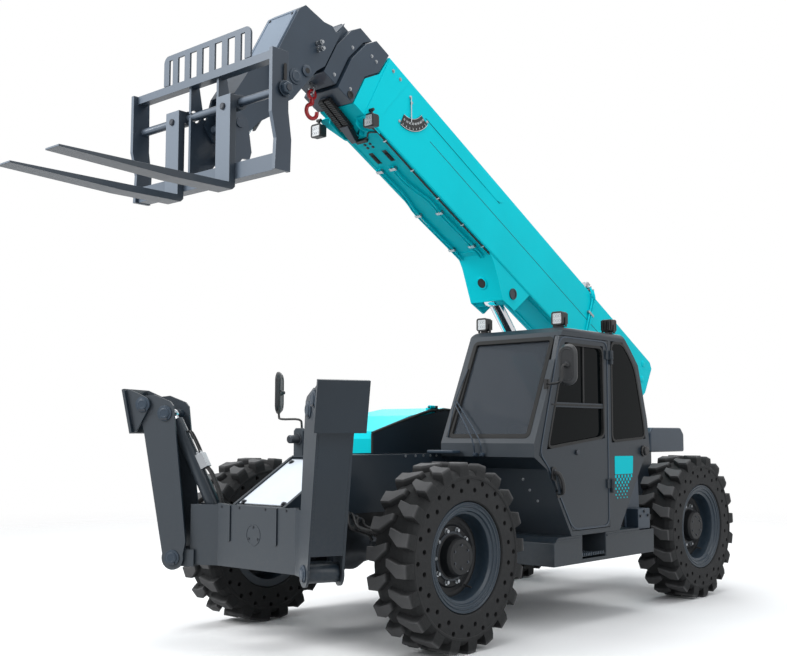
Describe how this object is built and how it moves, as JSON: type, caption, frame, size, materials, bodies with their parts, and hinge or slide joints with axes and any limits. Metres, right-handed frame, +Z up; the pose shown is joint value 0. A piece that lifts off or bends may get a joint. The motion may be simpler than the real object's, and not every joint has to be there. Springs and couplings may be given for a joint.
{
  "type": "telehandler",
  "caption": "Telescopic handler with a side cab, a multi-section lifting boom, a tilting fork carriage, folding front stabilizers and steered lugged tyres.",
  "frame": {"origin": "centre of the bounding box at ground level, under the wheels", "axes": "+Z up, -Y is the machine's front where the forks point, +X is its left, the cab's side"},
  "size_m": [2.78, 6.7609, 4.4561],
  "materials": {
    "dark_paint": "semi-gloss blue-grey enamel",
    "light_paint": "semi-gloss pale grey enamel",
    "teal_paint": "gloss teal enamel",
    "cast_steel": "painted casting",
    "clear_glass": "tinted safety glass",
    "seat_cover": "black woven cover",
    "black_plastic": "matt black",
    "chrome_rod": "hard chrome",
    "tyre_rubber": "solid rubber",
    "rim_paint": "semi-gloss blue-grey enamel"
  },
  "bodies": {
    "root": {"chassis_frame": "dark_paint", "nose_cover": "light_paint", "counterweight": "dark_paint", "tow_hitch": "dark_paint", "engine_bay": "dark_paint", "engine_block": "cast_steel", "rear_tank": "dark_paint", "cab_shell": "dark_paint", "cab_glass": "clear_glass", "driver_seat": "seat_cover", "steering_console": "black_plastic", "cab_steps": "dark_paint", "mirrors": "black_plastic", "cab_lamps": "black_plastic", "front_axle": "cast_steel", "rear_axle": "cast_steel"},
    "hood": {"engine_hood": "teal_paint"},
    "door": {"cab_door": "dark_paint", "door_glass": "clear_glass"},
    "knuckle_front_left": {"knuckle_front_left": "cast_steel"},
    "wheel_front_left": {"tyre_front_left": "tyre_rubber", "rim_front_left": "rim_paint"},
    "knuckle_front_right": {"knuckle_front_right": "cast_steel"},
    "wheel_front_right": {"tyre_front_right": "tyre_rubber", "rim_front_right": "rim_paint"},
    "knuckle_rear_left": {"knuckle_rear_left": "cast_steel"},
    "wheel_rear_left": {"tyre_rear_left": "tyre_rubber", "rim_rear_left": "rim_paint"},
    "knuckle_rear_right": {"knuckle_rear_right": "cast_steel"},
    "wheel_rear_right": {"tyre_rear_right": "tyre_rubber", "rim_rear_right": "rim_paint"},
    "arm_left": {"stabilizer_arm_left": "dark_paint"},
    "foot_left": {"stabilizer_foot_left": "dark_paint"},
    "ram_left": {"stabilizer_barrel_left": "dark_paint"},
    "ram_rod_left": {"stabilizer_rod_left": "chrome_rod"},
    "arm_right": {"stabilizer_arm_right": "dark_paint"},
    "foot_right": {"stabilizer_foot_right": "dark_paint"},
    "ram_right": {"stabilizer_barrel_right": "dark_paint"},
    "ram_rod_right": {"stabilizer_rod_right": "chrome_rod"},
    "boom": {"boom_outer": "teal_paint"},
    "boom_middle": {"boom_middle": "dark_paint"},
    "boom_inner": {"boom_inner": "dark_paint"},
    "boom_head": {"boom_head": "dark_paint"},
    "carriage": {"carriage": "dark_paint"},
    "fork_left": {"fork_left": "cast_steel"},
    "fork_right": {"fork_right": "cast_steel"},
    "lift_barrel": {"lift_barrel": "teal_paint"},
    "lift_rod": {"lift_rod": "chrome_rod"},
    "tilt_barrel": {"tilt_barrel": "dark_paint"},
    "tilt_rod": {"tilt_rod": "chrome_rod"}
  },
  "joints": [
    {"name": "hood_open", "type": "hinge", "parent": "root", "child": "hood", "pos_m": [-0.29, 0.825, 1.664], "axis": [0, 1, 0], "range_deg": [0, 50]},
    {"name": "door_open", "type": "hinge", "parent": "root", "child": "door", "pos_m": [1.167, 0.957, 1.3], "axis": [0, 0, 1], "range_deg": [0, 100]},
    {"name": "steer_front_left", "type": "hinge", "parent": "root", "child": "knuckle_front_left", "pos_m": [0.84, -0.827, 0.625], "axis": [0, 0, 1], "range_deg": [-32, 32]},
    {"name": "roll_front_left", "type": "hinge", "parent": "knuckle_front_left", "child": "wheel_front_left", "pos_m": [0.981, -0.827, 0.625], "axis": [1, 0, 0], "continuous": true},
    {"name": "steer_front_right", "type": "hinge", "parent": "root", "child": "knuckle_front_right", "pos_m": [-0.84, -0.827, 0.625], "axis": [0, 0, 1], "range_deg": [-32, 32]},
    {"name": "roll_front_right", "type": "hinge", "parent": "knuckle_front_right", "child": "wheel_front_right", "pos_m": [-0.981, -0.827, 0.625], "axis": [1, 0, 0], "continuous": true},
    {"name": "steer_rear_left", "type": "hinge", "parent": "root", "child": "knuckle_rear_left", "pos_m": [0.84, 2.477, 0.625], "axis": [0, 0, 1], "range_deg": [-32, 32]},
    {"name": "roll_rear_left", "type": "hinge", "parent": "knuckle_rear_left", "child": "wheel_rear_left", "pos_m": [0.981, 2.477, 0.625], "axis": [1, 0, 0], "continuous": true},
    {"name": "steer_rear_right", "type": "hinge", "parent": "root", "child": "knuckle_rear_right", "pos_m": [-0.84, 2.477, 0.625], "axis": [0, 0, 1], "range_deg": [-32, 32]},
    {"name": "roll_rear_right", "type": "hinge", "parent": "knuckle_rear_right", "child": "wheel_rear_right", "pos_m": [-0.981, 2.477, 0.625], "axis": [1, 0, 0], "continuous": true},
    {"name": "stabilizer_left", "type": "hinge", "parent": "root", "child": "arm_left", "pos_m": [0.725, -1.745, 0.577], "axis": [0.4226, 0.9063, 0], "range_deg": [0, 100]},
    {"name": "stabilizer_foot_left", "type": "hinge", "parent": "arm_left", "child": "foot_left", "pos_m": [0.94614, -1.84812, 1.647], "axis": [0.4226, 0.9063, 0], "range_deg": [-30, 5]},
    {"name": "stabilizer_ram_left", "type": "hinge", "parent": "root", "child": "ram_left", "pos_m": [0.45311, -1.61821, 0.847], "axis": [0.4226, 0.9063, 0], "range_deg": [0, 88.1]},
    {"name": "stabilizer_rod_left", "type": "slide", "parent": "ram_left", "child": "ram_rod_left", "axis": [0.4153, -0.1937, 0.8888], "range_m": [0, 0.5796]},
    {"name": "stabilizer_right", "type": "hinge", "parent": "root", "child": "arm_right", "pos_m": [-0.725, -1.745, 0.577], "axis": [0.4226, -0.9063, 0], "range_deg": [0, 100]},
    {"name": "stabilizer_foot_right", "type": "hinge", "parent": "arm_right", "child": "foot_right", "pos_m": [-0.94614, -1.84812, 1.647], "axis": [0.4226, -0.9063, 0], "range_deg": [-30, 5]},
    {"name": "stabilizer_ram_right", "type": "hinge", "parent": "root", "child": "ram_right", "pos_m": [-0.45311, -1.61821, 0.847], "axis": [0.4226, -0.9063, 0], "range_deg": [0, 88.1]},
    {"name": "stabilizer_rod_right", "type": "slide", "parent": "ram_right", "child": "ram_rod_right", "axis": [-0.4153, -0.1937, 0.8888], "range_m": [0, 0.5796]},
    {"name": "boom_lift", "type": "hinge", "parent": "root", "child": "boom", "pos_m": [0, 2.875, 1.76], "axis": [-1, 0, 0], "range_deg": [-31, 39.2]},
    {"name": "boom_extend", "type": "slide", "parent": "boom", "child": "boom_middle", "axis": [0, -0.8763, 0.4818], "range_m": [0, 3.3]},
    {"name": "boom_extend_inner", "type": "slide", "parent": "boom_middle", "child": "boom_inner", "axis": [0, -0.8763, 0.4818], "range_m": [0, 3.3]},
    {"name": "boom_extend_head", "type": "slide", "parent": "boom_inner", "child": "boom_head", "axis": [0, -0.8763, 0.4818], "range_m": [0, 3.3]},
    {"name": "carriage_tilt", "type": "hinge", "parent": "boom_head", "child": "carriage", "pos_m": [0, -1.98087, 3.48238], "axis": [1, 0, 0], "range_deg": [-30, 75]},
    {"name": "tilt_ram", "type": "hinge", "parent": "boom_head", "child": "tilt_barrel", "pos_m": [0, -1.51591, 3.91716], "axis": [1, 0, 0], "range_deg": [-2.75, 6.8]},
    {"name": "tilt_rod", "type": "slide", "parent": "tilt_barrel", "child": "tilt_rod", "axis": [0, -0.548, -0.8365], "range_m": [-0.2227, 0.0892]},
    {"name": "fork_slide_left", "type": "slide", "parent": "carriage", "child": "fork_left", "axis": [1, 0, 0], "range_m": [-0.03, 0.37]},
    {"name": "fork_slide_right", "type": "slide", "parent": "carriage", "child": "fork_right", "axis": [-1, 0, 0], "range_m": [-0.03, 0.37]},
    {"name": "lift_ram", "type": "hinge", "parent": "root", "child": "lift_barrel", "pos_m": [0, 2.465, 0.9], "axis": [-1, 0, 0], "range_deg": [-25.5, 32.2]},
    {"name": "lift_rod", "type": "slide", "parent": "lift_barrel", "child": "lift_rod", "axis": [0, -0.6658, 0.7461], "range_m": [-0.461, 0.583]}
  ],
  "couplings": [
    {"joint": "steer_front_right", "follows": "steer_front_left", "ratio": 1},
    {"joint": "steer_rear_right", "follows": "steer_rear_left", "ratio": 1},
    {"joint": "stabilizer_ram_left", "follows": "stabilizer_left", "ratio": 0.88},
    {"joint": "stabilizer_rod_left", "follows": "stabilizer_left", "m_per_rad": 0.332},
    {"joint": "stabilizer_ram_right", "follows": "stabilizer_right", "ratio": 0.88},
    {"joint": "stabilizer_rod_right", "follows": "stabilizer_right", "m_per_rad": 0.332},
    {"joint": "boom_extend_inner", "follows": "boom_extend", "ratio": 1},
    {"joint": "boom_extend_head", "follows": "boom_extend", "ratio": 1},
    {"joint": "tilt_ram", "follows": "carriage_tilt", "ratio": 0.09},
    {"joint": "tilt_rod", "follows": "carriage_tilt", "m_per_rad": -0.17},
    {"joint": "lift_ram", "follows": "boom_lift", "ratio": 0.82},
    {"joint": "lift_rod", "follows": "boom_lift", "m_per_rad": 0.85}
  ]
}
